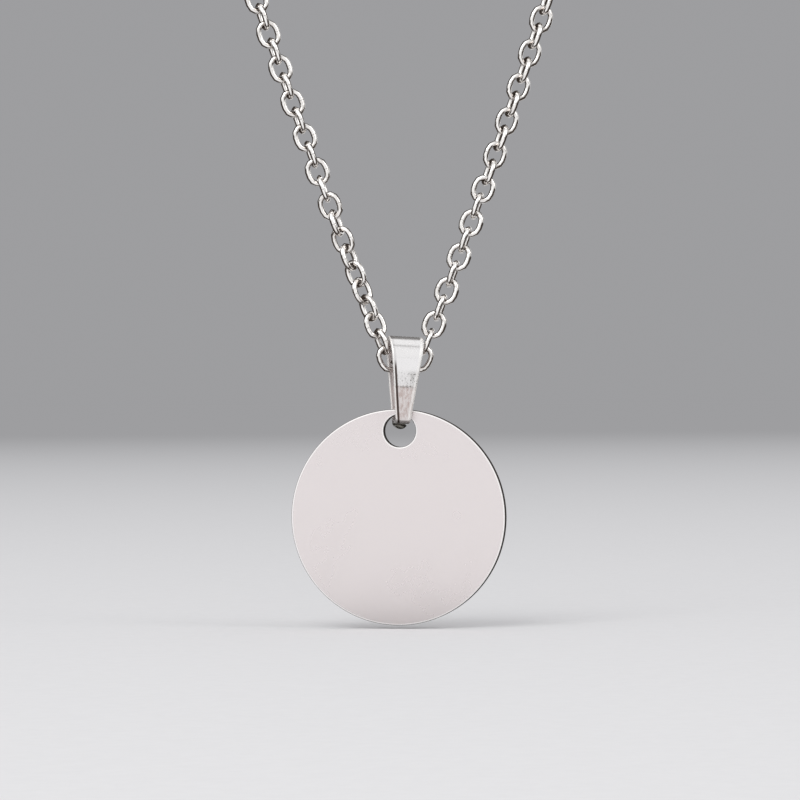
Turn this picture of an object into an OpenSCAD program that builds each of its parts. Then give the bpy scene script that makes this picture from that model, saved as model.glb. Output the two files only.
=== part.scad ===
// A round steel pendant on a folded strip bail, hung from a fine cable chain.
// +Z is up and the front faces -Y. The chain's loop lies in the XZ plane, and the
// origin is under the middle of the clasp, at the top, where the necklace hangs.

/* [Disc] */
// Diameter of the disc
disc_d = 20; // [18:0.5:24]
// Thickness of the disc
disc_t = 1.2; // [0.8:0.1:1.2]
// Diameter of the hole that the bail goes through
hole_d = 3; // [3:0.1:3.4]
// Height of the hole's centre above the disc's centre
hole_up = 8; // [6:0.1:8]
// Width of the chamfer on the edges of the disc and of its hole
disc_edge = 0.12; // [0.05:0.01:0.2]
// Turn of the disc about the vertical
disc_yaw = -17; // [-17:1:-10]
// Tilt of the disc in its own plane, as it hangs
disc_tilt = 1.6; // [0:0.1:3]

/* [Bail] */
// Thickness of the folded strip
strip_t = 0.4; // [0.3:0.05:0.5]
// Inner radius of the loop that the chain runs through
loop_r = 1.6; // [1.6:0.01:1.8]
// Width of the strip at the fold
fold_w = 3.25; // [3:0.05:3.25]
// Width of the strip at its tips
tip_w = 1.3; // [1:0.05:1.4]
// Distance from the loop's centre down to the centre of the disc's hole
bail_drop = 6.74; // [6.7:0.01:8]
// Angle at which each leg closes towards the other
leg_close = 5.6; // [4:0.1:6]
// Shift of the bail along the chain
bail_shift = -0.06; // [-0.15:0.01:0]
// Lean of the bail in the plane of the chain
bail_lean = 3.4; // [0:0.1:4]

/* [Chain] */
// Diameter of the wire
wire_d = 0.44; // [0.4:0.01:0.46]
// Width of a link over the wire
link_w = 2.15; // [2.1:0.01:2.2]
// Length of a link over the wire
link_l = 2.68; // [2.6:0.01:2.8]
// Play between two links
play = 0.12; // [0.1:0.01:0.14]
// Number of links on each side of the one in the bail
side_links = 117; // [112:1:118]
// Angle of the first link on each side of the one in the bail
first_rise = 62; // [60:1:66]
// Steepness of the strands above it, as rise over run
rise_start = 2.55; // [2.5:0.01:2.6]
// Gain in that steepness for each millimetre of strand
rise_gain = 0.0111; // [0.01:0.0001:0.012]
// Length of the hanging strands, up to the bend over the neck
strand_l = 130.5; // [129:0.5:132]
// Twist gained by each link of the left strand
twist_step = 7; // [0:0.5:8]
// Most that the left strand twists
twist_left = 96; // [0:1:100]
// Most that the right strand twists, low down
twist_right = -18; // [-20:1:0]
// Link above which the right strand turns back, the step it takes for each link, and
// the twist it keeps from there on
turn_back = 10; // [8:1:12]
back_step = 12; // [8:1:12]
twist_upper = 8; // [0:1:8]

/* [Clasp] */
// Diameter of the barrel
barrel_d = 2.6; // [2.2:0.1:3]
// Diameter of the wire of the barrel's two eyes
eye_wire = 0.6; // [0.5:0.05:0.6]
// Diameter of an eye, to the middle of its wire
eye_d = 1.9; // [1.8:0.05:2.1]

/* [Hidden] */
$fn = 48;

// A link is two half rings of this radius, joined by two straights
ring_r = (link_w - wire_d) / 2;
straight = link_l - link_w;
pitch = link_l - 2 * wire_d - play;
// The first link on each side stands in the chain's plane, and the next crosses it
function crosses(k) = k % 2 == 0;
function reach(k) = straight / 2 + (crosses(k) ? ring_r : 0);

// The strands hang in a catenary, then bend over the neck on an arc
function rise_at(s) = atan(rise_start + rise_gain * s);
bend_start = rise_at(strand_l);
bend_rate = (180 - bend_start) / (side_links * pitch - strand_l);
function heading_at(s) = s < strand_l ? rise_at(s) : bend_start + bend_rate * (s - strand_l);
function heading(k) = k == 0 ? 0 : k == 1 ? first_rise : heading_at((k - 0.5) * pitch);

// Each link's centre follows from the last, and two links bear on each other
// along the line that halves the bend between them
function toward(angle) = [cos(angle), sin(angle)];
bearing = ring_r - wire_d - play;
function step(k) = reach(k) * toward(heading(k))
    + bearing * toward((heading(k) + heading(k + 1)) / 2)
    + reach(k + 1) * toward(heading(k + 1));
places = [for (k = 0, c = [0, 0]; k <= side_links; c = c + step(k), k = k + 1) c];
last = places[side_links];

// The strands take up their twist link by link, and lose it behind the neck
function fade(k) = min(1, (side_links - k) * twist_step / 90);
function twist_low(k) = max(twist_right, -twist_step * (k - 1));
function twist(k, side) = k == 0 ? 0 : fade(k) * (side < 0
    ? min(twist_left, twist_step * k)
    : min(twist_upper, twist_low(k) + back_step * max(0, k - turn_back)));

// Heights from the link in the bail up to the clasp, and down to the pendant
top_z = last[1] - barrel_d / 2;
link_z = -top_z;
loop_up = 0.42;
pivot_z = link_z + loop_up;

// The barrel fills what the two last links and its eyes leave between them
eye_r = eye_d / 2;
eye_grip = (wire_d + eye_wire) / 2 + play;
eye_x = last[0] - reach(0) + eye_grip - eye_r;
eye_sink = 0.25;
barrel_half = eye_x - eye_r + eye_sink;
barrel_edge = 0.5;
groove_w = 0.16;
groove_depth = 0.12;

// The bail's tips turn into the hole, the front one above the back one
tip_gap = 0.1;
tongue_top = 1.06;
front_tongue = bail_drop - tongue_top;
back_tongue = front_tongue + strip_t + tip_gap;
front_tongue_past = 0.2;
back_tongue_short = 0.15;
loop_outer = loop_r + strip_t;
bend_r = 0.1;
arc_step = 6;

// The clasp's cut and the holes run past the faces they open
past = 0.5;

module disc_blank(radius, half_t, edge) {
    rotate_extrude()
        polygon([
            [0, -half_t], [radius - edge, -half_t], [radius, -half_t + edge],
            [radius, half_t - edge], [radius - edge, half_t], [0, half_t]
        ]);
}

module hole_tool(radius, half_t, edge) {
    cylinder(r = radius, h = 2 * (half_t + past), center = true);
    for (face = [-1, 1])
        translate([0, 0, face * half_t])
            cylinder(
                r1 = radius + (face < 0 ? 2 * edge : 0), r2 = radius + (face < 0 ? 0 : 2 * edge),
                h = 2 * edge, center = true
            );
}

// The disc hangs from its hole, turned and tilted a little
module disc() {
    color("gainsboro")
        translate([bail_shift - bail_drop * sin(bail_lean), 0, pivot_z - bail_drop * cos(bail_lean)])
            rotate([90, 0, disc_yaw]) rotate([0, 0, -disc_tilt])
                difference() {
                    translate([0, -hole_up, 0]) disc_blank(disc_d / 2, disc_t / 2, disc_edge);
                    hole_tool(hole_d / 2, disc_t / 2, disc_edge);
                }
}

// How far a leg's inner face is from the middle, at a depth below the loop's centre
function leg_gap(depth) = (loop_r - depth * sin(leg_close)) / cos(leg_close);

// Points along an arc, one for every few degrees
function arc(centre, radius, from, to) =
    let (steps = ceil(abs(to - from) / arc_step))
    [for (i = [0 : steps]) centre + radius * toward(from + (to - from) * i / steps)];

// The centre of the bend between a leg and its tongue, on the back
function bend_at(depth) = [leg_gap(depth - bend_r) - bend_r / cos(leg_close), bend_r - depth];

function mirrored(point) = [-point[0], point[1]];

// One face of the strip in side view, front tongue to back tongue, with the back
// at +x: off is 0 on the inner face and the strip's thickness on the outer one
function strip_line(off) = concat(
    [[front_tongue_past, -front_tongue - off]],
    arc(mirrored(bend_at(front_tongue)), bend_r + off, 270, 180 + leg_close),
    arc([0, 0], loop_r + off, 180 + leg_close, -leg_close),
    arc(bend_at(back_tongue), bend_r + off, -leg_close, -90),
    [[back_tongue_short, -back_tongue - off]]
);

// The folded strip in side view
module strip_side() {
    inner = strip_line(0);
    polygon(concat(strip_line(strip_t), [for (i = [len(inner) - 1 : -1 : 0]) inner[i]]));
}

// The strip in front view: wide at the fold and narrow at the tips
module strip_front() {
    low = back_tongue + strip_t;
    taper_end = front_tongue + strip_t;
    polygon([
        [-fold_w / 2, loop_outer], [fold_w / 2, loop_outer],
        [tip_w / 2, -taper_end], [tip_w / 2, -low], [-tip_w / 2, -low], [-tip_w / 2, -taper_end]
    ]);
}

// Takes the corners off the back tip, so that it ends in a half circle
module back_tip_tool() {
    low = back_tongue + strip_t;
    depth = loop_outer + past;
    difference() {
        translate([-tip_w, tip_gap, -low - past]) cube([2 * tip_w, depth, past + tip_w / 2]);
        translate([0, 0, -low + tip_w / 2]) rotate([-90, 0, 0]) cylinder(d = tip_w, h = 2 * depth);
    }
}

// One strip folded over the chain, its tips turned into the disc's hole
module bail() {
    color("silver")
        translate([bail_shift, 0, pivot_z]) rotate([0, bail_lean, 0])
            difference() {
                intersection() {
                    rotate([90, 0, 90]) linear_extrude(2 * fold_w, center = true) strip_side();
                    rotate([90, 0, 0]) linear_extrude(4 * loop_outer, center = true) strip_front();
                }
                back_tip_tool();
            }
}

// An oval link standing on its end, in the XZ plane
module link() {
    for (end = [0, 180])
        rotate([0, end, 0]) translate([0, 0, straight / 2]) rotate([90, 0, 0])
            rotate_extrude(angle = 180, $fn = 24) translate([ring_r, 0]) circle(d = wire_d, $fn = 24);
    for (side = [-1, 1])
        translate([side * ring_r, 0, 0]) cylinder(d = wire_d, h = straight, center = true, $fn = 24);
}

// The links of one side, counted from the one in the bail
module strand(side, first) {
    for (k = [first : side_links])
        translate([side * places[k][0], 0, link_z + places[k][1]])
            rotate([0, side * (90 - heading(k)), 0])
                rotate([0, 0, (crosses(k) ? 90 : 0) + twist(k, side)])
                    link();
}

module chain_left() {
    color("lightgray") strand(-1, 1);
}

module chain_right() {
    color("silver") strand(1, 0);
}

// A plain barrel clasp behind the neck, with an eye for the last link at each end
module clasp() {
    r = barrel_d / 2;
    color("darkgray") translate([0, 0, r]) {
        rotate([0, 90, 0]) rotate_extrude()
            polygon([
                [0, -barrel_half], [r - barrel_edge, -barrel_half], [r, -barrel_half + barrel_edge],
                [r, -groove_w / 2], [r - groove_depth, -groove_w / 2],
                [r - groove_depth, groove_w / 2], [r, groove_w / 2],
                [r, barrel_half - barrel_edge], [r - barrel_edge, barrel_half], [0, barrel_half]
            ]);
        for (side = [-1, 1])
            translate([side * eye_x, 0, 0])
                rotate_extrude() translate([eye_r, 0]) circle(d = eye_wire);
    }
}

disc();
bail();
chain_left();
chain_right();
clasp();
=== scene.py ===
"""A round steel pendant on a folded strip bail, hung from a fine cable chain.

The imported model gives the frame: +Z is up, the front faces -Y, the chain's loop lies in
the XZ plane, and the origin is under the clasp. The sizes of pieces are in millimetres,
as a jeweller has them, and each mesh is brought to metres when it is made. Materials,
lights and the camera are in metres.
"""

import bpy
import numpy as np
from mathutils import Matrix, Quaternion, Vector


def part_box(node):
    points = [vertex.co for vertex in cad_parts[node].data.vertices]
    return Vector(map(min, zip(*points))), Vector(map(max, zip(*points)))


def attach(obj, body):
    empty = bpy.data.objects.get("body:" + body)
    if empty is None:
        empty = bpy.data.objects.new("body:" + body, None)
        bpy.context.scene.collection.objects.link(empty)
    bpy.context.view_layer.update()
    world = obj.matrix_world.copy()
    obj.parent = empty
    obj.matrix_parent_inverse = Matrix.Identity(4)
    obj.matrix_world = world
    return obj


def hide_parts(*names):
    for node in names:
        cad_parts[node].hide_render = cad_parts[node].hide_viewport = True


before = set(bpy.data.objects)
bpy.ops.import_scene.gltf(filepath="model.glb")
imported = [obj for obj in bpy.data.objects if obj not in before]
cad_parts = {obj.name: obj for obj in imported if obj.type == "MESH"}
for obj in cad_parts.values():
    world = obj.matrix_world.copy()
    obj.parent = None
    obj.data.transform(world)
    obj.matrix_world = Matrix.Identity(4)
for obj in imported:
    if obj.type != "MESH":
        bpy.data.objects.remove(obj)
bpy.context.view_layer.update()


# The chain. Each of its 235 links is a length of drawn steel wire, bent to an oval,
# closed with a butt joint half way up one side, and tumbled bright with the others.
# It hangs in two strands, one end link of each in the clasp and one link in the bail.
MILLIMETRE = 0.001
wire_d = 0.44
link_w = 2.15
link_l = 2.68
play = 0.12
side_links = 117
first_rise = 62.0
rise_start = 2.55
rise_gain = 0.0111
strand_l = 130.5
twist_step = 7.0
twist_left = 96.0
twist_right = -18.0
turn_back = 10
back_step = 12.0
twist_upper = 8.0
twist_fade = 90.0
barrel_d = 2.6
wire_bends = 6
wire_sides = 6
wire_fill = 1.19
wire_rows = 2 * wire_bends + 2
ring_r = (link_w - wire_d) / 2
straight = link_l - link_w
pitch = link_l - 2 * wire_d - play
bearing = ring_r - wire_d - play
link_order = np.arange(side_links + 1)


def whole_turn(steps):
    """Angles of a whole turn, in so many equal steps."""
    return np.linspace(0, 2 * np.pi, steps, endpoint=False)


def rise_at(length):
    """Heading of a hanging strand: its steepness grows evenly with the length below."""
    return np.degrees(np.arctan(rise_start + rise_gain * length))


def link_headings():
    """Heading of each link: level in the bail, a rise of its own for the first, then the
    hanging line's, and from the neck on a turn that grows evenly with length."""
    along = (link_order - 0.5) * pitch
    bend_start = rise_at(strand_l)
    bend_rate = (180 - bend_start) / (side_links * pitch - strand_l)
    bent = bend_start + bend_rate * (along - strand_l)
    heading = np.where(along < strand_l, rise_at(along), bent)
    heading[:2] = 0, first_rise
    return heading


def link_centres(heading):
    """Centre of each link: the sum, from link to link, of this one's reach along its heading,
    the bearing of wire on wire along the mean heading, and the next one's reach along its
    own. Reach is half the straight, and on every other link the end's radius more."""
    turn = np.radians(heading)
    line = np.stack([np.cos(turn), np.sin(turn)], 1)
    middle = (turn[:-1] + turn[1:]) / 2
    between = np.stack([np.cos(middle), np.sin(middle)], 1)
    reach = (straight / 2 + np.where(link_order % 2 == 0, ring_r, 0))[:, None]
    steps = reach[:-1] * line[:-1] + bearing * between + reach[1:] * line[1:]
    return np.vstack([np.zeros(2), np.cumsum(steps, 0)])


def link_twists(side):
    """Turn of each link about the strand: a step more for each link up to the strand's
    most. On the right it turns back above a low link. It fades out before the clasp."""
    fade = np.minimum(1, (side_links - link_order) * twist_step / twist_fade)
    grown = np.minimum(twist_left, twist_step * link_order)
    if side > 0:
        low_down = np.maximum(twist_right, -twist_step * (link_order - 1))
        higher = low_down + back_step * np.maximum(0, link_order - turn_back)
        grown = np.minimum(twist_upper, higher)
    return np.where(link_order == 0, 0, fade * grown)


def end_turns():
    """Angles of the points along the wire: one half circle, then the other."""
    half = np.linspace(0, np.pi, wire_bends + 1)
    return np.concatenate([half, half + np.pi])


def oval_wire():
    """One link on end: the centre line is two half circles joined by two straights, and
    a point of the wire is centre + radius * (cos b * outward + sin b * across). The radius
    is filled out a little, so that a wire of so few sides looks as thick as it is."""
    turn = end_turns()
    outward = np.stack([np.cos(turn), 0 * turn, np.sin(turn)], 1)
    ends = np.repeat([1.0, -1.0], wire_bends + 1)[:, None] * [0, 0, straight / 2]
    around = whole_turn(wire_sides)[:, None]
    ring = np.cos(around) * outward[:, None] + np.sin(around) * [0, 1, 0]
    return (ring_r * outward + ends)[:, None] + wire_fill * wire_d / 2 * ring


def strand_points(side, first):
    """Every link of a strand: the oval turned about its length, leaned to the strand's
    heading, and moved to its centre. Axes: link, place along the wire, place round it."""
    centre = strand_centres[first:]
    spin = np.where(link_order % 2 == 0, 90, 0) + link_twists(side)
    spin = np.radians(spin)[first:, None, None]
    lean = np.radians(side * (90 - strand_headings))[first:, None, None]
    x, y, z = np.moveaxis(oval_wire(), -1, 0)
    across = x * np.cos(spin) - y * np.sin(spin)
    depth = x * np.sin(spin) + y * np.cos(spin)
    placed_x = across * np.cos(lean) + z * np.sin(lean)
    placed_z = z * np.cos(lean) - across * np.sin(lean)
    placed_x = placed_x + side * centre[:, 0, None, None]
    placed_z = placed_z + centre[:, 1, None, None] + link_z
    return np.stack([placed_x, depth, placed_z], -1)


def ring_faces(rows, columns, count=1):
    """Faces of a grid of points that closes on itself both ways, repeated count times.
    Face = this point, its neighbour round the row, that one's next row, own next row."""
    row, column = np.meshgrid(np.arange(rows), np.arange(columns), indexing="ij")
    next_row = (row + 1) % rows
    next_column = (column + 1) % columns
    corners = [
        row * columns + column,
        row * columns + next_column,
        next_row * columns + next_column,
        next_row * columns + column,
    ]
    one = np.stack(corners, -1).reshape(-1, 4)
    return (one + rows * columns * np.arange(count)[:, None, None]).reshape(-1, 4)


def make_piece(name, points, faces, marks=None):
    """A smooth mesh from points in millimetres, with named values kept on its points."""
    mesh = bpy.data.meshes.new(name)
    mesh.from_pydata((points.reshape(-1, 3) * MILLIMETRE).tolist(), [], faces)
    mesh.shade_smooth()
    for mark, values in (marks or {}).items():
        kept = mesh.attributes.new(mark, "FLOAT", "POINT")
        kept.data.foreach_set("value", np.ravel(values).astype(np.float32))
    piece = bpy.data.objects.new(name, mesh)
    bpy.context.scene.collection.objects.link(piece)
    return piece


def wire_map(piece, count):
    """UV map of the wire: u is the share of the way round the link and v the share of
    the way round the wire, so that a joint and drawn lines can follow the wire."""
    row, column = np.meshgrid(np.arange(wire_rows), np.arange(wire_sides), indexing="ij")
    u = row / wire_rows
    v = column / wire_sides
    corners_u = np.stack([u, u, u + 1 / wire_rows, u + 1 / wire_rows], -1)
    corners_v = np.stack([v, v + 1 / wire_sides, v + 1 / wire_sides, v], -1)
    one = np.stack([corners_u, corners_v], -1).ravel()
    piece.data.uv_layers.new(name="wire").data.foreach_set("uv", np.tile(one, count))


def put_node(tree, kind, sockets=None, **settings):
    """Adds a shader node: settings are its own choices, and sockets its values or links."""
    made = tree.nodes.new(kind)
    for name, value in settings.items():
        setattr(made, name, value)
    for name, value in (sockets or {}).items():
        if isinstance(value, bpy.types.NodeSocket):
            tree.links.new(value, made.inputs[name])
        else:
            made.inputs[name].default_value = value
    return made


def put_math(tree, operation, first, second=0.0, third=0.0):
    """The result of one operation on values or links."""
    made = put_node(tree, "ShaderNodeMath", {0: first, 1: second, 2: third}, operation=operation)
    return made.outputs[0]


def put_range(tree, value, low, high, to_low=0.0, to_high=1.0):
    """A value carried smoothly from one range to another."""
    sockets = {0: value, 1: low, 2: high, 3: to_low, 4: to_high}
    made = put_node(tree, "ShaderNodeMapRange", sockets, interpolation_type="SMOOTHSTEP")
    return made.outputs[0]


def put_mix(tree, share, first, second):
    """One colour mixed into another."""
    made = put_node(tree, "ShaderNodeMix", {0: share, 6: first, 7: second}, data_type="RGBA")
    return made.outputs[2]


def put_noise(tree, place, scale, detail, **more):
    """Noise with so many crests to a unit of place, as a value about 0.5."""
    sockets = {"Vector": place, "Scale": scale, "Detail": detail, **more}
    return put_node(tree, "ShaderNodeTexNoise", sockets).outputs[0]


def put_stretch(tree, place, scale):
    """A place scaled on each axis: noise laid on it is drawn out where that is small."""
    return put_node(tree, "ShaderNodeMapping", {"Vector": place, "Scale": scale}).outputs[0]


def new_effect(name, inputs, outputs):
    """A shared effect: a node group with named inputs and outputs."""
    tree = bpy.data.node_groups.new(name, "ShaderNodeTree")
    for way, sockets in (("INPUT", inputs), ("OUTPUT", outputs)):
        for socket, kind in sockets.items():
            tree.interface.new_socket(socket, in_out=way, socket_type="NodeSocket" + kind)
    given = tree.nodes.new("NodeGroupInput").outputs
    result = tree.nodes.new("NodeGroupOutput").inputs
    return tree, given, result


def hairline_effect():
    """Fine scratches: noise drawn out into streaks three ways, of which only the
    sharpest crests are kept. Grain is how many streaks lie side by side in a metre."""
    inputs = {"Vector": "Vector", "Grain": "Float"}
    tree, given, result = new_effect("hairline scratches", inputs, {"Scratch": "Float"})
    turns = ((0.3, 0.2, 0.1), (0.9, 1.2, 2.1), (2.2, 0.5, 1.1))
    drawn_out = (1, 0.03, 0.25)
    sharpest = (0.63, 0.72)
    kept = 0.0
    for turn in turns:
        sockets = {"Vector": given["Vector"], "Rotation": turn, "Scale": drawn_out}
        drawn = put_node(tree, "ShaderNodeMapping", sockets).outputs[0]
        streaks = put_noise(tree, drawn, given["Grain"], detail=1.0)
        kept = put_math(tree, "MAXIMUM", kept, put_range(tree, streaks, *sharpest))
    tree.links.new(kept, result["Scratch"])
    return tree


def handling_effect():
    """Smudges from handling: a broad noise for the finger marks, broken by a finer one.
    Spots is how many marks lie in a metre. Haze is 0 where clean and 1 where greasy."""
    inputs = {"Vector": "Vector", "Spots": "Float"}
    tree, given, result = new_effect("handling marks", inputs, {"Haze": "Float"})
    finer = 9.0
    mark_edge = (0.42, 0.66)
    gap_edge = (0.35, 0.65)
    left_in_gaps = 0.6
    broad = put_noise(tree, given["Vector"], given["Spots"], detail=2.0, Distortion=0.6)
    fine_spots = put_math(tree, "MULTIPLY", given["Spots"], finer)
    fine = put_noise(tree, given["Vector"], fine_spots, detail=3.0)
    marks = put_range(tree, broad, *mark_edge)
    broken = put_range(tree, fine, *gap_edge, left_in_gaps, 1.0)
    tree.links.new(put_math(tree, "MULTIPLY", marks, broken), result["Haze"])
    return tree


hairlines = hairline_effect()
handling = handling_effect()


def put_effect(tree, effect, **sockets):
    """Places a shared effect in a material, with this material's own values."""
    return put_node(tree, "ShaderNodeGroup", sockets, node_tree=effect).outputs[0]


def new_steel(name):
    """A material with a steel shader and the piece's own coordinates in metres."""
    material = bpy.data.materials.new(name)
    material.use_nodes = True
    tree = material.node_tree
    shader = tree.nodes["Principled BSDF"]
    shader.inputs["Metallic"].default_value = 1.0
    place = tree.nodes.new("ShaderNodeTexCoord").outputs["Object"]
    return material, tree, shader, place


def mark_value(tree, name):
    """A value kept on the piece's points."""
    found = put_node(tree, "ShaderNodeAttribute", attribute_name=name, attribute_type="GEOMETRY")
    return found.outputs["Fac"]


def finish_steel(tree, shader, colour, roughness, height, depth):
    """Joins the colour, roughness and relief to the shader. Depth is how far apart, in
    metres, a height of 0 and one of 1 lie."""
    sockets = {"Height": height, "Distance": depth, "Strength": 1.0}
    relief = put_node(tree, "ShaderNodeBump", sockets)
    tree.links.new(colour, shader.inputs["Base Color"])
    tree.links.new(roughness, shader.inputs["Roughness"])
    tree.links.new(relief.outputs[0], shader.inputs["Normal"])


def wire_steel():
    """Drawn and tumbled wire: bright steel, with brown tarnishing from handling, a darker
    brown in the link ends that is partly oxide where the links rub and partly painted
    shade where they cross, drawn lines along the wire, and the joint's dark seam."""
    bright = (0.96, 0.94, 0.92, 1)
    # Brown of the tarnishing from handling, and of the oxide and painted shade in the link ends
    tarnish_and_shade = (0.17, 0.11, 0.075, 1)
    seam_tint = (0.05, 0.04, 0.035, 1)
    hollow_tarnish_and_shade = 0.85
    worn_tarnish = 0.18
    seam_edge = (0.002, 0.005)
    seam_share = 0.6
    lines_drawn_out = (3, 26, 1)
    smoothest = 0.07
    rough_lines = 0.10
    rough_worn = 0.08
    line_height = 0.35
    material, tree, shader, place = new_steel("drawn wire steel")
    worn = put_effect(tree, handling, Vector=place, Spots=900.0)
    # The hollow mark: oxide where the links rub, and painted shade where they cross
    shade = put_math(tree, "MULTIPLY", mark_value(tree, "hollow"), hollow_tarnish_and_shade)
    shade = put_math(tree, "MULTIPLY_ADD", worn, worn_tarnish, shade)
    colour = put_mix(tree, shade, bright, tarnish_and_shade)
    wire_place = put_node(tree, "ShaderNodeUVMap", uv_map="wire").outputs[0]
    split = put_node(tree, "ShaderNodeSeparateXYZ", {0: wire_place})
    joint_at = (wire_bends + 0.5) / wire_rows
    from_joint = put_math(tree, "SUBTRACT", split.outputs[0], joint_at)
    from_joint = put_math(tree, "ABSOLUTE", from_joint)
    seam = put_range(tree, from_joint, *seam_edge, seam_share, 0.0)
    colour = put_mix(tree, seam, colour, seam_tint)
    line_place = put_stretch(tree, wire_place, lines_drawn_out)
    lines = put_noise(tree, line_place, scale=2.0, detail=2.0)
    roughness = put_math(tree, "MULTIPLY_ADD", lines, rough_lines, smoothest)
    roughness = put_math(tree, "MULTIPLY_ADD", worn, rough_worn, roughness)
    height = put_math(tree, "MULTIPLY", lines, line_height)
    height = put_math(tree, "SUBTRACT", height, seam)
    finish_steel(tree, shader, colour, roughness, height, depth=0.000006)
    return material


def link_hollows(count):
    """Oxide and painted shade inside the link's ends: it grows towards the inner side of
    the wire, as the cosine there, and towards the ends, as the squared sine of the turn there."""
    towards_end = np.sin(end_turns()) ** 2
    inner = np.clip(-np.cos(whole_turn(wire_sides)), 0, 1)
    return np.tile(towards_end[:, None] * inner, (count, 1, 1))


strand_headings = link_headings()
strand_centres = link_centres(strand_headings)
link_z = barrel_d / 2 - strand_centres[-1, 1]
chain_steel = wire_steel()
for name, side, first in (("chain_left", -1, 1), ("chain_right", 1, 0)):
    count = side_links + 1 - first
    faces = ring_faces(wire_rows, wire_sides, count)
    # The hollow mark carries the oxide and the painted shade inside the link ends
    marks = {"hollow": link_hollows(count)}
    strand = make_piece(name + "_links", strand_points(side, first), faces.tolist(), marks)
    wire_map(strand, count)
    strand.data.materials.append(chain_steel)
    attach(strand, "necklace")
    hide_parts(name)


# The clasp behind the neck: a turned steel barrel in two halves that meet at a fine
# groove, with a soldered wire eye at each end for the chain's last link.
eye_wire = 0.6
eye_d = 1.9
eye_sink = 0.25
eye_rays = 40
eye_sides = 16
barrel_round = 0.45
barrel_lip = 0.03
barrel_rays = 56
cap_r = 0.3
groove_w = 0.16
groove_depth = 0.12
groove_middle = 0.01
groove_grime = 0.8
tolerance = 0.001
eye_grip = (wire_d + eye_wire) / 2 + play
eye_x = strand_centres[-1, 0] - straight / 2 - ring_r + eye_grip - eye_d / 2
barrel_half = eye_x - eye_d / 2 + eye_sink


def capped_faces(rows, columns):
    """Faces of a grid that closes on itself round each row only, with a flat cap on the
    first row and on the last."""
    corners = ring_faces(rows, columns)[: (rows - 1) * columns, ::-1].tolist()
    first_cap = np.arange(columns).tolist()
    last_cap = ((rows - 1) * columns + np.arange(columns)[::-1]).tolist()
    return corners + [first_cap, last_cap]


def quarter(steps):
    """Angles of a quarter turn."""
    return np.linspace(0, np.pi / 2, steps)


def barrel_points():
    """A turned barrel: radius r at place x along the axis, carried round the axis as
    (x, r cos a, r sin a). Its corners and the groove's lips are rounded."""
    r = barrel_d / 2
    corner = quarter(7)
    corner_x = barrel_half - barrel_round + barrel_round * np.cos(corner)
    corner_r = r - barrel_round + barrel_round * np.sin(corner)
    lip = quarter(4)
    lip_x = groove_w / 2 + barrel_lip * (1 - np.sin(lip))
    lip_r = r - barrel_lip * (1 - np.cos(lip))
    low = r - groove_depth
    half_x = np.concatenate([
        [barrel_half, barrel_half],
        corner_x,
        [corner_x[-1] - barrel_lip, lip_x[0] + barrel_lip],
        lip_x,
        [groove_w / 2, groove_w / 2 - barrel_lip / 2, groove_middle],
    ])
    half_r = np.concatenate([
        [cap_r, r - barrel_round - barrel_lip],
        corner_r,
        [r, r],
        lip_r,
        [low + barrel_lip / 2, low, low],
    ])
    x = np.concatenate([half_x, -half_x[::-1]])[:, None]
    radius = np.concatenate([half_r, half_r[::-1]])[:, None]
    turn = whole_turn(barrel_rays)
    return np.stack([x + 0 * turn, radius * np.cos(turn), radius * np.sin(turn) + r], -1)


def eye_points(side):
    """A ring of round wire lying level: centre line of radius R, and a point of the wire
    is R * outward + wire radius * (cos b * outward - sin b * up)."""
    turn = whole_turn(eye_rays)
    outward = np.stack([np.cos(turn), np.sin(turn), 0 * turn], 1)[:, None]
    around = whole_turn(eye_sides)[:, None]
    ring = np.cos(around) * outward - np.sin(around) * [0, 0, 1]
    return eye_d / 2 * outward + eye_wire / 2 * ring + [side * eye_x, 0, barrel_d / 2]


def turned_steel():
    """Turned and buffed steel: fine rings left by the lathe, light smudges, and grey
    grime that stays in the groove."""
    bright = (0.82, 0.80, 0.78, 1)
    grime = (0.16, 0.14, 0.12, 1)
    carried_round = (1, 0.01, 0.01)
    grime_in_haze = 0.12
    smoothest = 0.14
    rough_haze = 0.12
    material, tree, shader, place = new_steel("turned steel")
    haze = put_effect(tree, handling, Vector=place, Spots=420.0)
    ring_place = put_stretch(tree, place, carried_round)
    rings = put_noise(tree, ring_place, scale=14000.0, detail=2.0)
    shade = put_math(tree, "MULTIPLY_ADD", haze, grime_in_haze, mark_value(tree, "grime"))
    colour = put_mix(tree, shade, bright, grime)
    roughness = put_math(tree, "MULTIPLY_ADD", haze, rough_haze, smoothest)
    finish_steel(tree, shader, colour, roughness, rings, depth=0.000004)
    return material


barrel = barrel_points()
eyes = [eye_points(-1), eye_points(1)]
eye_faces = ring_faces(eye_rays, eye_sides, len(eyes)) + barrel.size // 3
clasp_faces = capped_faces(*barrel.shape[:2]) + eye_faces.tolist()
clasp_points = np.concatenate([part.reshape(-1, 3) for part in (barrel, *eyes)])
in_groove = np.abs(clasp_points[:, 0]) < groove_w / 2 + tolerance
grime_kept = groove_grime * in_groove
clasp = make_piece("barrel_clasp", clasp_points, clasp_faces, {"grime": grime_kept})
clasp.data.materials.append(turned_steel())
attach(clasp, "necklace")
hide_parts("clasp")


# The bail: one tapering strip of polished steel, folded over the chain and pinched so
# that its two tips turn inwards, the front one over the back one, into the disc's hole.
strip_t = 0.4
loop_r = 1.6
fold_w = 3.25
tip_w = 1.3
bail_drop = 6.74
leg_close = np.radians(5.6)
bail_shift = -0.06
bail_lean = np.radians(3.4)
loop_up = 0.42
tip_gap = 0.1
tip_least = 0.06
tongue_top = 1.06
front_tongue = bail_drop - tongue_top
back_tongue = front_tongue + strip_t + tip_gap
front_tongue_past = 0.2
back_tongue_short = 0.15
bend_r = 0.1
strip_edge = 0.12
strip_lip = 0.19
pivot_z = link_z + loop_up


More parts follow.
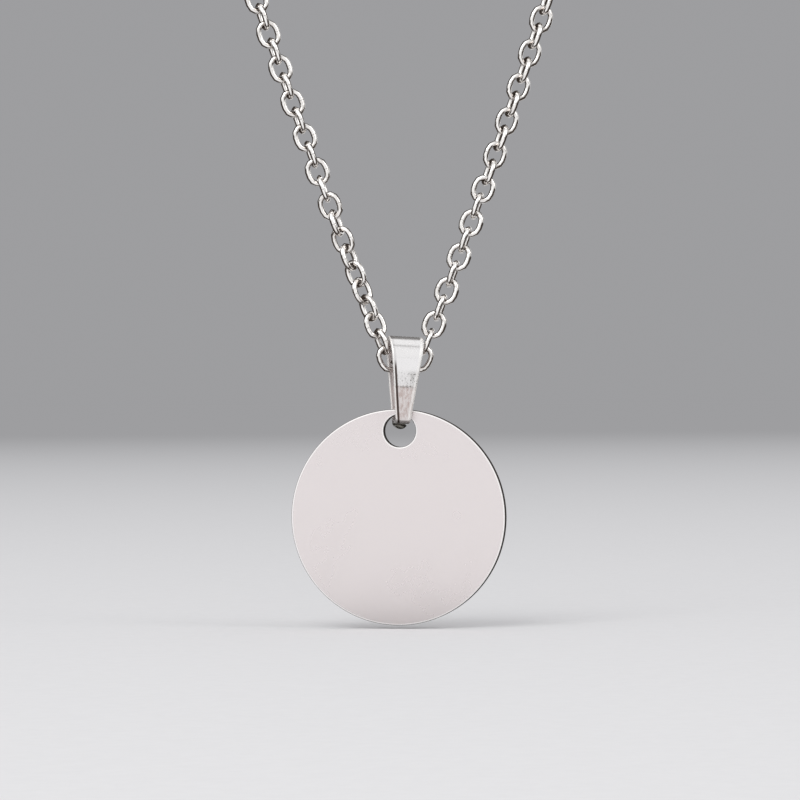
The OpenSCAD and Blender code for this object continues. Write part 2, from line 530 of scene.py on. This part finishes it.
def bend_centre(depth):
    """Centre of the bend between a leg and its tongue, behind the middle, in side view:
    the leg's inner face there, less the bend's radius across the leg."""
    leg_gap = (loop_r - (depth - bend_r) * np.sin(leg_close)) / np.cos(leg_close)
    return np.array([leg_gap - bend_r / np.cos(leg_close), bend_r - depth])


def arc(centre, radius, start, end, count):
    """Points centre + radius * way on an arc in side view, and their ways out of it."""
    turn = np.radians(np.linspace(start, end, count))
    way = np.stack([np.cos(turn), np.sin(turn)], 1)
    return centre + radius * way, way


def level_run(start, end, height, count):
    """Points on a level line in side view, whose way out is down."""
    line = np.stack([np.linspace(start, end, count), np.full(count, height)], 1)
    return line, np.tile([0.0, -1.0], (count, 1))


def strip_line():
    """The strip's inner face in side view and the ways out of it: front tongue, bend,
    front leg, the loop over the chain, back leg, bend, back tongue."""
    close = np.degrees(leg_close)
    front = bend_centre(front_tongue) * [-1, 1]
    back = bend_centre(back_tongue)
    stretches = (
        level_run(front_tongue_past, front[0] + bend_r, -front_tongue, count=4),
        arc(front, bend_r, -90, close - 180, count=9),
        arc(np.zeros(2), loop_r, 180 + close, -close, count=49),
        arc(back, bend_r, -close, -90, count=9),
        level_run(back[0] - bend_r, back_tongue_short, -back_tongue, count=4),
    )
    return tuple(np.concatenate(parts) for parts in zip(*stretches))


def strip_half_width(height, depth):
    """Half the strip's width at a height: an even taper from fold to tip, and on the
    back tip the half circle that ends it."""
    loop_outer = loop_r + strip_t
    taper_end = front_tongue + strip_t
    share = np.clip((loop_outer - height) / (loop_outer + taper_end), 0, 1)
    half = (fold_w + (tip_w - fold_w) * share) / 2
    below = height + back_tongue + strip_t - tip_w / 2
    circle = np.sqrt(np.clip((tip_w / 2) ** 2 - below**2, tip_least**2, None))
    return np.where((depth > tip_gap) & (below < 0), np.minimum(half, circle), half)


def bail_points():
    """The strip: a flat section with rounded edges carried along its side view. A point
    is line + off * way, and across it half the width less the edge's rounding."""
    line, way = strip_line()
    turn = quarter(5)
    inset = strip_edge * (1 - np.cos(turn))
    rise = strip_edge * np.sin(turn)
    flat = strip_t / 2 - strip_edge
    face_loops = np.array([1.3, 1.0, 0.2])
    face_off = np.full(face_loops.size, flat + strip_edge)
    face_in = strip_edge + strip_lip * face_loops
    edge_off = np.concatenate([-face_off, -flat - rise[::-1], flat + rise, face_off])
    edge_in = np.concatenate([face_in, inset[::-1], inset, face_in[::-1]])
    off = strip_t / 2 + np.concatenate([edge_off, edge_off[::-1]])
    inwards = np.concatenate([edge_in, edge_in[::-1]])
    sign = np.repeat([1.0, -1.0], edge_off.size)
    spot = line[:, None] + off[:, None] * way[:, None]
    half = strip_half_width(spot[..., 1], spot[..., 0])
    x = sign * (half - inwards * np.minimum(1, half / (tip_w / 2)))
    return np.stack([x, spot[..., 0], spot[..., 1]], -1)


def bail_placed(points):
    """The strip leaned in the chain's plane and moved to its place on the chain."""
    x, y, z = np.moveaxis(points, -1, 0)
    leaned_x = x * np.cos(bail_lean) + z * np.sin(bail_lean) + bail_shift
    leaned_z = z * np.cos(bail_lean) - x * np.sin(bail_lean) + pivot_z
    return np.stack([leaned_x, y, leaned_z], -1)


def strip_steel():
    """Polished strip: near white at the fold, with a pinkish brown bloom in fine mottling
    towards the tips. A thin tide line bounds it, with a grey stain and pits above, mostly
    to the right. A painted dark reflection runs beside the left edge, the edges carry a
    white painted highlight, and the tips down in the disc's hole a painted shade."""
    bright = (0.85, 0.84, 0.84, 1)
    bloom = (0.47, 0.365, 0.335, 1)
    stain = (0.33, 0.32, 0.30, 1)
    pit = (0.07, 0.065, 0.06, 1)
    # Tint of the tide line, and of the painted dark reflection beside the left edge
    tide_and_reflection_tint = (0.035, 0.018, 0.012, 1)
    # Olive brown of the painted shade on the tips down in the disc's hole
    hole_shade_tint = (0.10, 0.095, 0.07, 1)
    matt = (0.76, 0.68, 0.66, 1)
    # White of the painted highlight on the edges
    edge_highlight_white = (1.0, 0.98, 0.96, 1)
    # Where each mark begins and ends or has its middle, as a share of the way down a leg
    reflection_grows = (0.0, 0.16)
    stain_middle = 0.33
    bloom_grows = (0.39, 0.46)
    tide_middle = 0.435
    bloom_pales = (0.80, 0.97)
    edge_highlight_ends = (0.90, 0.94)
    hole_darkens = (0.945, 0.985)
    # How far a stain or tide line reaches from its middle, from its faint edge to full
    stain_reach = (0.17, 0.08)
    tide_reach = (0.014, 0.004)
    # Where the stain grows across the strip, where the mottling and the pits set in, and
    # the least share of each mark's tint with the most that the mottling adds to it
    right_side = (-0.1, 0.6)
    left_stain = 0.3
    mottle_edge = (0.40, 0.62)
    pit_edge = (0.57, 0.63)
    bloom_least, bloom_more = 0.38, 0.45
    stain_least, stain_more = 0.3, 0.4
    matt_least, matt_more = 0.7, 0.3
    bloom_at_tip = 0.45
    tide_most = 0.6
    reflection_at_fold, reflection_below = 0.15, 0.95
    hole_shade = 0.85
    # How metallic the polished steel, the painted edge highlight and the inner steel look
    metal_polished, metal_edge_highlight, metal_inside = 0.75, 0.6, 0.25
    smoothest = 0.15
    rough_haze = 0.08
    rough_bloom = 0.10
    rough_dull = 0.35
    drawn_down = (1, 1, 0.35)
    scratch_height = -0.4
    mottle_height = 0.5
    material, tree, shader, place = new_steel("polished strip steel")
    haze = put_effect(tree, handling, Vector=place, Spots=700.0)
    drawn = put_stretch(tree, place, drawn_down)
    mottle = put_noise(tree, drawn, scale=4600.0, detail=4.0, Roughness=0.7)
    pits = put_noise(tree, place, scale=6500.0, detail=2.0)
    down = mark_value(tree, "down")
    inside = mark_value(tree, "inside")
    rightwards = put_range(tree, mark_value(tree, "across"), *right_side, left_stain, 1.0)
    mottled = put_range(tree, mottle, *mottle_edge)

    low = put_range(tree, down, *bloom_grows)
    tip = put_range(tree, down, *bloom_pales, 1.0, bloom_at_tip)
    bloom_share = put_math(tree, "MULTIPLY_ADD", mottled, bloom_more, bloom_least)
    bloom_share = put_math(tree, "MULTIPLY", low, bloom_share)
    bloom_share = put_math(tree, "MULTIPLY", bloom_share, tip)
    colour = put_mix(tree, bloom_share, bright, bloom)

    from_stain = put_math(tree, "ABSOLUTE", put_math(tree, "SUBTRACT", down, stain_middle))
    stained = put_range(tree, from_stain, *stain_reach)
    stained = put_math(tree, "MULTIPLY", stained, rightwards)
    stain_share = put_math(tree, "MULTIPLY_ADD", mottled, stain_more, stain_least)
    stain_share = put_math(tree, "MULTIPLY", stained, stain_share)
    colour = put_mix(tree, stain_share, colour, stain)
    pit_share = put_math(tree, "MULTIPLY", put_range(tree, pits, *pit_edge), stained)
    colour = put_mix(tree, pit_share, colour, pit)

    from_tide = put_math(tree, "ABSOLUTE", put_math(tree, "SUBTRACT", down, tide_middle))
    tide_share = put_range(tree, from_tide, *tide_reach, 0.0, tide_most)
    tide_share = put_math(tree, "MULTIPLY", tide_share, mottled)
    colour = put_mix(tree, tide_share, colour, tide_and_reflection_tint)

    matt_share = put_math(tree, "MULTIPLY_ADD", mottled, matt_more, matt_least)
    matt_share = put_math(tree, "MULTIPLY", inside, matt_share)
    colour = put_mix(tree, matt_share, colour, matt)
    # Painted dark reflection: a dark line beside the left edge, faint at the fold
    dark_reflection_line = put_range(tree, down, *reflection_grows, reflection_at_fold, reflection_below)
    dark_reflection_line = put_math(tree, "MULTIPLY", mark_value(tree, "lip"), dark_reflection_line)
    colour = put_mix(tree, dark_reflection_line, colour, tide_and_reflection_tint)
    # Painted highlight: the edges are painted near white, fading out towards the tips
    edge_highlight = put_range(tree, down, *edge_highlight_ends, 1.0, 0.0)
    edge_highlight = put_math(tree, "MULTIPLY", mark_value(tree, "edge_highlight"), edge_highlight)
    colour = put_mix(tree, edge_highlight, colour, edge_highlight_white)
    # Painted shade: the tips down in the disc's hole are darkened
    shaded_in_hole = put_range(tree, down, *hole_darkens, 0.0, hole_shade)
    colour = put_mix(tree, shaded_in_hole, colour, hole_shade_tint)

    metal = put_range(tree, edge_highlight, 0.0, 1.0, metal_polished, metal_edge_highlight)
    metal = put_range(tree, inside, 0.0, 1.0, metal, metal_inside)
    tree.links.new(metal, shader.inputs["Metallic"])
    roughness = put_math(tree, "MULTIPLY_ADD", haze, rough_haze, smoothest)
    roughness = put_math(tree, "MULTIPLY_ADD", low, rough_bloom, roughness)
    dull = put_math(tree, "MAXIMUM", inside, edge_highlight)
    roughness = put_math(tree, "MULTIPLY_ADD", dull, rough_dull, roughness)
    scratch = put_effect(tree, hairlines, Vector=place, Grain=16000.0)
    height = put_math(tree, "MULTIPLY", scratch, scratch_height)
    height = put_math(tree, "MULTIPLY_ADD", mottle, mottle_height, height)
    finish_steel(tree, shader, colour, roughness, height, depth=0.000004)
    return material


def section_marks(section):
    """Marks round the strip's section: a painted highlight, the inside, and a painted dark
    reflection line. The points of its right half run from the inner face over the edge to
    the outer face, and those of its left half run back, with three points on each half face."""
    highlight_beside_edge = 0.6
    inner_reflection_line = 0.3
    right, left = np.arange(section).reshape(2, -1)
    edge_highlight, inside, lip = np.zeros((3, section))
    # Painted highlight on the edge rounds, and on the right half's outer face beside its edge
    edge_highlight[right[4:-4]] = 1
    edge_highlight[left[4:-4]] = 1
    edge_highlight[right[[-3, -2]]] = highlight_beside_edge
    inside[right[:3]] = 1
    inside[left[-3:]] = 1
    # The lip mark: a painted dark reflection line beside the left edge, fainter on the inner
    # face
    lip[left[[1, 2]]] = 1
    lip[left[[-3, -2]]] = inner_reflection_line
    return edge_highlight, inside, lip


strip = bail_points()
rows, section = strip.shape[:2]
edge_highlight_row, inside_row, reflection_line_row = section_marks(section)
bail_marks = {
    "down": np.clip(-strip[..., 2] / back_tongue, 0, 1),
    "across": strip[..., 0] / (fold_w / 2),
    "edge_highlight": np.tile(edge_highlight_row, (rows, 1)),
    "inside": np.tile(inside_row, (rows, 1)),
    # The lip mark carries the painted dark reflection line
    "lip": np.tile(reflection_line_row, (rows, 1)),
}
bail = make_piece("folded_bail", bail_placed(strip), capped_faces(rows, section), bail_marks)
bail.data.materials.append(strip_steel())
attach(bail, "bail")
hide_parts("bail")


# The disc: a blank cut from steel sheet, both faces polished flat, with its edges and
# the hole's just broken. The cut walls are dark brown, partly as they came from the
# cutter and partly painted shade, darker than the faces.
disc_d = 20
disc_t = 1.2
hole_d = 3
hole_up = 8
disc_edge = 0.12
disc_yaw = np.radians(-17)
disc_tilt = np.radians(1.6)
disc_rays = 240


def disc_points():
    """The disc round its hole. Each ring of points is a circle whose centre slides from
    the hole's centre to the disc's, at its own radius and height, and the rings follow
    the section: hole wall, face, rim, other face."""
    edge = quarter(6)
    fall = disc_edge * (1 - np.sin(edge))
    draw = disc_edge * (1 - np.cos(edge))
    top = disc_t / 2
    inner_r = hole_d / 2 + disc_edge
    outer_r = disc_d / 2 - disc_edge
    support = 0.04
    hole_rings = np.stack([0 * edge, hole_d / 2 + draw, top - fall], 1)
    near_hole = [[0, inner_r + support, top]]
    slide = np.array([0.25, 0.5, 0.75])
    face_r = (1 - slide) * inner_r + slide * outer_r
    face_rings = np.stack([slide, face_r, np.full(slide.size, top)], 1)
    near_rim = [[1, outer_r - support, top]]
    rim_rings = np.stack([0 * edge + 1, disc_d / 2 - draw, top - fall], 1)[::-1]
    front = np.concatenate([hole_rings, near_hole, face_rings, near_rim, rim_rings])
    rings = np.concatenate([front, front[::-1] * [1, 1, -1]])
    turn = whole_turn(disc_rays)[:, None]
    x = rings[:, 1] * np.cos(turn)
    y = rings[:, 1] * np.sin(turn) - rings[:, 0] * hole_up
    z = rings[:, 2] + 0 * turn
    # The upper part of each edge round is painted as a white highlight; below it lies the cut
    # wall
    rim_highlight_share = 0.3
    cut = np.abs(rings[:, 2]) < top - rim_highlight_share * disc_edge
    by_hole = (rings[:, 0] == 0) & (rings[:, 1] < inner_r + tolerance)
    by_rim = (rings[:, 0] == 1) & (rings[:, 1] > outer_r - tolerance)
    rim_highlight = ~cut & (by_hole | by_rim)
    return np.stack([x, y, z], -1), cut + 0 * turn, rim_highlight + 0 * turn


def disc_placed(points):
    """The disc tilted about its hole, stood up, turned about the vertical, and hung at
    the bail's tips."""
    flat_x, flat_y, z = np.moveaxis(points, -1, 0)
    x = flat_x * np.cos(disc_tilt) + flat_y * np.sin(disc_tilt)
    y = flat_y * np.cos(disc_tilt) - flat_x * np.sin(disc_tilt)
    hang_x = bail_shift - bail_drop * np.sin(bail_lean)
    hang_z = pivot_z - bail_drop * np.cos(bail_lean)
    turned_x = x * np.cos(disc_yaw) + z * np.sin(disc_yaw) + hang_x
    turned_y = x * np.sin(disc_yaw) - z * np.cos(disc_yaw)
    return np.stack([turned_x, turned_y, y + hang_z], -1)


def sheet_steel():
    """Polished sheet: an even, faintly pink white with the lightest smudges and
    hairlines. The edges carry a fine white line of painted highlight, and the cut walls are
    dark brown, partly oxide left by the cutter and partly painted shade."""
    face = (0.786, 0.734, 0.734, 1)
    smudged = (0.780, 0.728, 0.728, 1)
    # Dark brown of the cut walls: oxide from the cutter, deepened as painted shade
    wall = (0.045, 0.039, 0.035, 1)
    # White of the painted highlight on the edges
    rim_highlight_white = (1.0, 0.98, 0.97, 1)
    metal_face, metal_rim_highlight = 0.5, 0.2
    smoothest = 0.24
    rough_haze = 0.05
    rough_rim_highlight = 0.16
    rough_cut = 0.60
    material, tree, shader, place = new_steel("polished sheet steel")
    haze = put_effect(tree, handling, Vector=place, Spots=110.0)
    scratch = put_effect(tree, hairlines, Vector=place, Grain=9000.0)
    cut = mark_value(tree, "cut")
    rim_highlight = mark_value(tree, "rim_highlight")
    colour = put_mix(tree, haze, face, smudged)
    # Painted highlight: the edge rounds are painted white, less metallic and rougher
    colour = put_mix(tree, rim_highlight, colour, rim_highlight_white)
    # The cut walls: the cutter's oxide, darkened further as painted shade in the hole and at the
    # rim
    colour = put_mix(tree, cut, colour, wall)
    metal = put_range(tree, rim_highlight, 0.0, 1.0, metal_face, metal_rim_highlight)
    metal = put_math(tree, "SUBTRACT", metal, cut)
    tree.links.new(metal, shader.inputs["Metallic"])
    shader.inputs["Specular IOR Level"].default_value = 0.08
    roughness = put_math(tree, "MULTIPLY_ADD", haze, rough_haze, smoothest)
    roughness = put_math(tree, "MULTIPLY_ADD", rim_highlight, rough_rim_highlight, roughness)
    roughness = put_math(tree, "MULTIPLY_ADD", cut, rough_cut, roughness)
    height = put_math(tree, "MULTIPLY", scratch, -1.0)
    finish_steel(tree, shader, colour, roughness, height, depth=0.0000008)
    return material


disc_mesh, disc_cut, disc_rim_highlight = disc_points()
disc_faces = ring_faces(*disc_mesh.shape[:2])
disc_marks = {"cut": disc_cut, "rim_highlight": disc_rim_highlight}
disc = make_piece("round_disc", disc_placed(disc_mesh), disc_faces.tolist(), disc_marks)
disc.data.materials.append(sheet_steel())
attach(disc, "disc")
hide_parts("disc")


# The floor: a pale matt board just under the disc, far wider than any view of it. It
# is painted darker with distance, a painted falloff of light to the grey of the room.
# What metal mirrors of it is a painted reflection: bright only in front and right
# behind, as if dark cloths lay beside the object, and a painted shadow under the disc.
floor_gap = 0.3
floor_reach = 20000
room_grey = (0.34, 0.34, 0.35, 1)
room_glow = (0.70, 0.70, 0.71, 1)
board_grey = (0.76, 0.76, 0.77, 1)
board_pale = (0.80, 0.80, 0.81, 1)
# Dark of the painted reflection beside and under the object
mirrored_dark = (0.06, 0.048, 0.04, 1)
mirrored_white = (1.0, 1.0, 1.0, 1)
level_only = (1, 1, 0)
front_side = (-0.26, -0.966, 0)
# In metres from under the disc: where the painted falloff greys the board, and where
# the painted shadow in what metal mirrors ends.
# As cosines of the angle from the front side: where it is mirrored bright, front and back.
painted_falloff = (0.1, 2.2)
mirrored_shadow_ends = (0.01, 0.032)
bright_front = (0.58, 0.78)
bright_back = (-0.82, -0.93)
back_share = 0.65


def put_vector(tree, operation, first, second=(0, 0, 0)):
    """The result of one operation on vectors: a value for a length or a dot product."""
    made = put_node(tree, "ShaderNodeVectorMath", {0: first, 1: second}, operation=operation)
    return made.outputs[1 if operation in ("LENGTH", "DOT_PRODUCT") else 0]


floor_z = float(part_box("disc")[0].z) / MILLIMETRE - floor_gap
corner = np.array([[-1, -1, 0], [1, -1, 0], [1, 1, 0], [-1, 1, 0]]) * floor_reach
floor = make_piece("pale_floor", corner + [0, 0, floor_z], [[0, 1, 2, 3]])
floor_paint = bpy.data.materials.new("pale matt board")
floor_paint.use_nodes = True
paint = floor_paint.node_tree
board = paint.nodes["Principled BSDF"]
board.inputs["Roughness"].default_value = 1.0
board.inputs["Specular IOR Level"].default_value = 0.0
board_place = paint.nodes.new("ShaderNodeTexCoord").outputs["Object"]
level_place = put_vector(paint, "MULTIPLY", board_place, level_only)
away = put_vector(paint, "LENGTH", level_place)
speckle = put_noise(paint, board_place, scale=900.0, detail=3.0)
board_colour = put_mix(paint, speckle, board_grey, board_pale)
# Painted falloff of light: the board is painted darker away from the disc, to the room's grey
falloff_grey = (np.array(room_grey) / np.array(room_glow)).tolist()
far = put_range(paint, away, *painted_falloff)
board_colour = put_mix(paint, far, board_colour, falloff_grey)
level_way = put_vector(paint, "NORMALIZE", level_place)
front_way = put_vector(paint, "DOT_PRODUCT", level_way, front_side)
in_front = put_range(paint, front_way, *bright_front)
behind = put_range(paint, front_way, *bright_back, 0.0, back_share)
mirrored_share = put_math(paint, "MAXIMUM", in_front, behind)
# Painted shadow: what metal mirrors of the board stays dark near the disc
clear_of_disc = put_range(paint, away, *mirrored_shadow_ends)
mirrored_share = put_math(paint, "MULTIPLY", mirrored_share, clear_of_disc)
# Painted reflection: metal mirrors white in front and right behind, dark elsewhere
mirrored_board = put_mix(paint, mirrored_share, mirrored_dark, mirrored_white)
board_ray = put_node(paint, "ShaderNodeLightPath").outputs["Is Glossy Ray"]
board_colour = put_mix(paint, board_ray, board_colour, mirrored_board)
paint.links.new(board_colour, board.inputs["Base Color"])
floor.data.materials.append(floor_paint)


# The light: two soft boxes above the front, left and right, in a plain even room. What
# the metal mirrors is a room of bright panels, round it and overhead, with dark gaps
# between them, as jewellers' tents have.
def toward(azimuth, elevation):
    """Direction at an azimuth, from the front towards +X, and an elevation."""
    a, e = np.radians([azimuth, elevation])
    return np.array([np.sin(a) * np.cos(e), -np.cos(a) * np.cos(e), np.sin(e)])


def soft_light(name, azimuth, elevation, distance, size, power, colour):
    """A square soft box that faces the pendant."""
    lamp = bpy.data.lights.new(name, "AREA")
    lamp.shape = "SQUARE"
    lamp.size = size
    lamp.energy = power
    lamp.color = colour
    box = bpy.data.objects.new(name, lamp)
    bpy.context.scene.collection.objects.link(box)
    way = toward(azimuth, elevation)
    box.location = lit_point + distance * way
    box.rotation_mode = "QUATERNION"
    box.rotation_quaternion = Vector(way).to_track_quat("Z", "Y")


lit_point = np.array([0, 0, -0.17])
key_tint = (1.0, 0.99, 0.98)
fill_tint = (1.0, 0.98, 0.96)
soft_light("key_box", -38, 42, distance=0.75, size=0.50, power=1.8, colour=key_tint)
soft_light("fill_box", 52, 30, distance=0.90, size=0.40, power=0.8, colour=fill_tint)

world = bpy.data.worlds.new("soft room")
bpy.context.scene.world = world
world.use_nodes = True
world.cycles.sampling_method = "NONE"
room = world.node_tree
way_out = put_node(room, "ShaderNodeTexCoord").outputs["Generated"]
# Azimuth, half width, lowest and highest elevation in degrees, and brightness
panels = (
    (-20, 45, -10, 69, 0.97),
    (-84, 20, 4, 62, 1.00),
    (60, 30, 4, 62, 0.95),
    (146, 20, -10, 21, 0.85),
)
top_panel = toward(180, 85)
top_panel_half = 26
panel_blur = 5
top_blur = 4
dark_gap = (0.045, 0.036, 0.030, 1)
flat_way = put_vector(room, "MULTIPLY", way_out, level_only)
flat_way = put_vector(room, "NORMALIZE", flat_way)
up_way = put_node(room, "ShaderNodeSeparateXYZ", {0: way_out}).outputs["Z"]


def facing_share(way, direction, spread):
    """1 within so many degrees of a direction, 0 beyond it, with a soft edge."""
    facing = put_vector(room, "DOT_PRODUCT", way, direction.tolist())
    outer, inner = np.cos(np.radians([spread + panel_blur, spread - panel_blur]))
    return put_range(room, facing, outer, inner)


lit = facing_share(way_out, top_panel, top_panel_half)
for azimuth, half_width, lowest, highest, brightness in panels:
    share = facing_share(flat_way, toward(azimuth, 0), half_width)
    bottom = np.sin(np.radians([lowest - panel_blur, lowest + panel_blur]))
    top = np.sin(np.radians([highest - top_blur, highest + top_blur]))
    over_bottom = put_range(room, up_way, *bottom)
    under_top = put_range(room, up_way, *top, 1.0, 0.0)
    share = put_math(room, "MULTIPLY", share, over_bottom)
    share = put_math(room, "MULTIPLY", share, under_top)
    lit = put_math(room, "MULTIPLY_ADD", share, brightness, lit)
mirrored = put_mix(room, lit, dark_gap, mirrored_white)
ray = put_node(room, "ShaderNodeLightPath").outputs
seen = put_mix(room, ray["Is Glossy Ray"], room_glow, mirrored)
seen = put_mix(room, ray["Is Camera Ray"], seen, room_grey)
room.links.new(seen, room.nodes["Background"].inputs["Color"])


# The camera: level, a little to the left of the front, aimed just above the disc's
# hole, so that the disc hangs in the middle and both strands leave at the top.
view_azimuth = -8.5
view_distance = 0.35
view_roll = np.radians(0.4)
aim = np.array([-0.00049, 0, -0.17150])
lens = bpy.data.cameras.new("pendant_view")
lens.sensor_width = 36
lens.lens = 170
lens.clip_start = 0.01
lens.clip_end = 100
camera = bpy.data.objects.new("pendant_view", lens)
bpy.context.scene.collection.objects.link(camera)
camera.location = aim + view_distance * toward(view_azimuth, 0)
camera.rotation_mode = "QUATERNION"
level = Vector(toward(view_azimuth, 0)).to_track_quat("Z", "Y")
camera.rotation_quaternion = level @ Quaternion((0, 0, 1), -view_roll)
bpy.context.scene.camera = camera
bpy.context.scene.view_settings.view_transform = "Standard"
